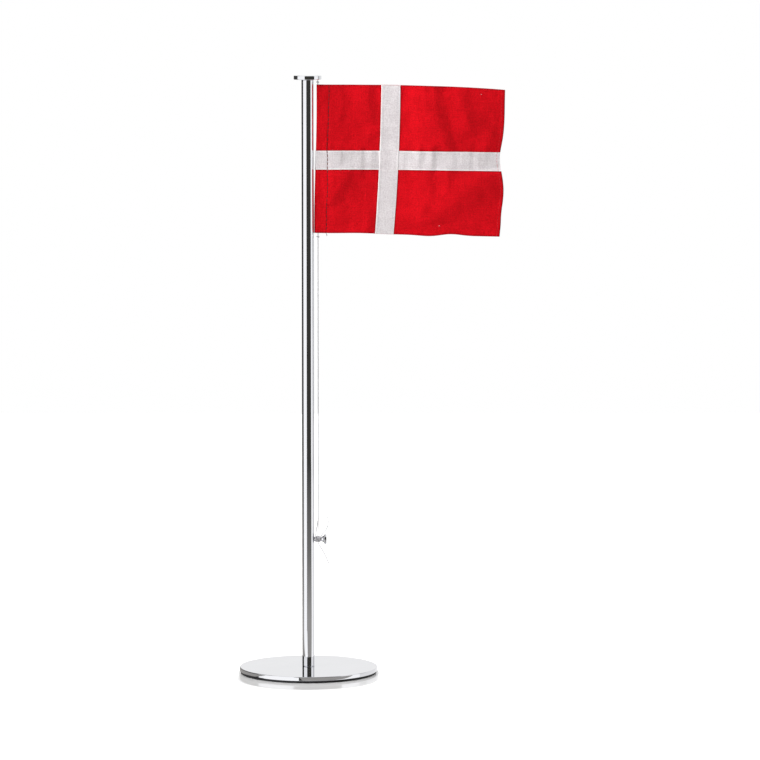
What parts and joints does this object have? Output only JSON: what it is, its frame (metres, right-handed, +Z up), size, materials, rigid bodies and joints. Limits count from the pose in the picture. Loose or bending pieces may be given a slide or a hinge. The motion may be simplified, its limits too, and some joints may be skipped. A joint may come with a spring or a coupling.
{
  "type": "desk flag stand",
  "caption": "Small desk flagpole: round polished base, slim tube pole with flat cap, halyard on a turned cleat, and a red cloth flag with an off-centre white cross.",
  "frame": {"origin": "middle of the pad's underside, on the pole's axis, at the surface the stand rests on", "axes": "+Z up along the pole, +X the side that the flag flies to and the cleat stands on, -Y the side it is looked at from"},
  "size_m": [0.1724, 0.09, 0.39],
  "materials": {
    "polished_steel": "mirror polished",
    "plain_steel": "as turned",
    "pad_rubber": "matt closed-cell foam rubber",
    "nylon_line": "clear monofilament",
    "red_cloth": "plain-woven cloth",
    "white_ribbon": "woven ribbon"
  },
  "bodies": {
    "stand": {"base_pad": "pad_rubber", "base_plate": "polished_steel", "base_screw": "plain_steel", "pole_tube": "polished_steel", "pole_foot_plug": "plain_steel", "finial_cap": "polished_steel", "cleat_plug": "plain_steel", "cleat_pin": "polished_steel", "halyard": "nylon_line"},
    "halyard_knots": {"knot_upper": "nylon_line", "knot_lower": "nylon_line"},
    "flag": {"flag_field": "red_cloth", "ribbon_bar_front": "white_ribbon", "ribbon_bar_back": "white_ribbon", "ribbon_upright_front": "white_ribbon", "ribbon_upright_back": "white_ribbon"}
  },
  "joints": [
    {"name": "flag_hoist", "type": "slide", "parent": "stand", "child": "halyard_knots", "axis": [0, 0, 1], "range_m": [-0.18, 0]},
    {"name": "flag_swing", "type": "hinge", "parent": "halyard_knots", "child": "flag", "pos_m": [0.0066, 0, 0.336], "axis": [0, 0, 1], "range_deg": [-120, 120]}
  ]
}
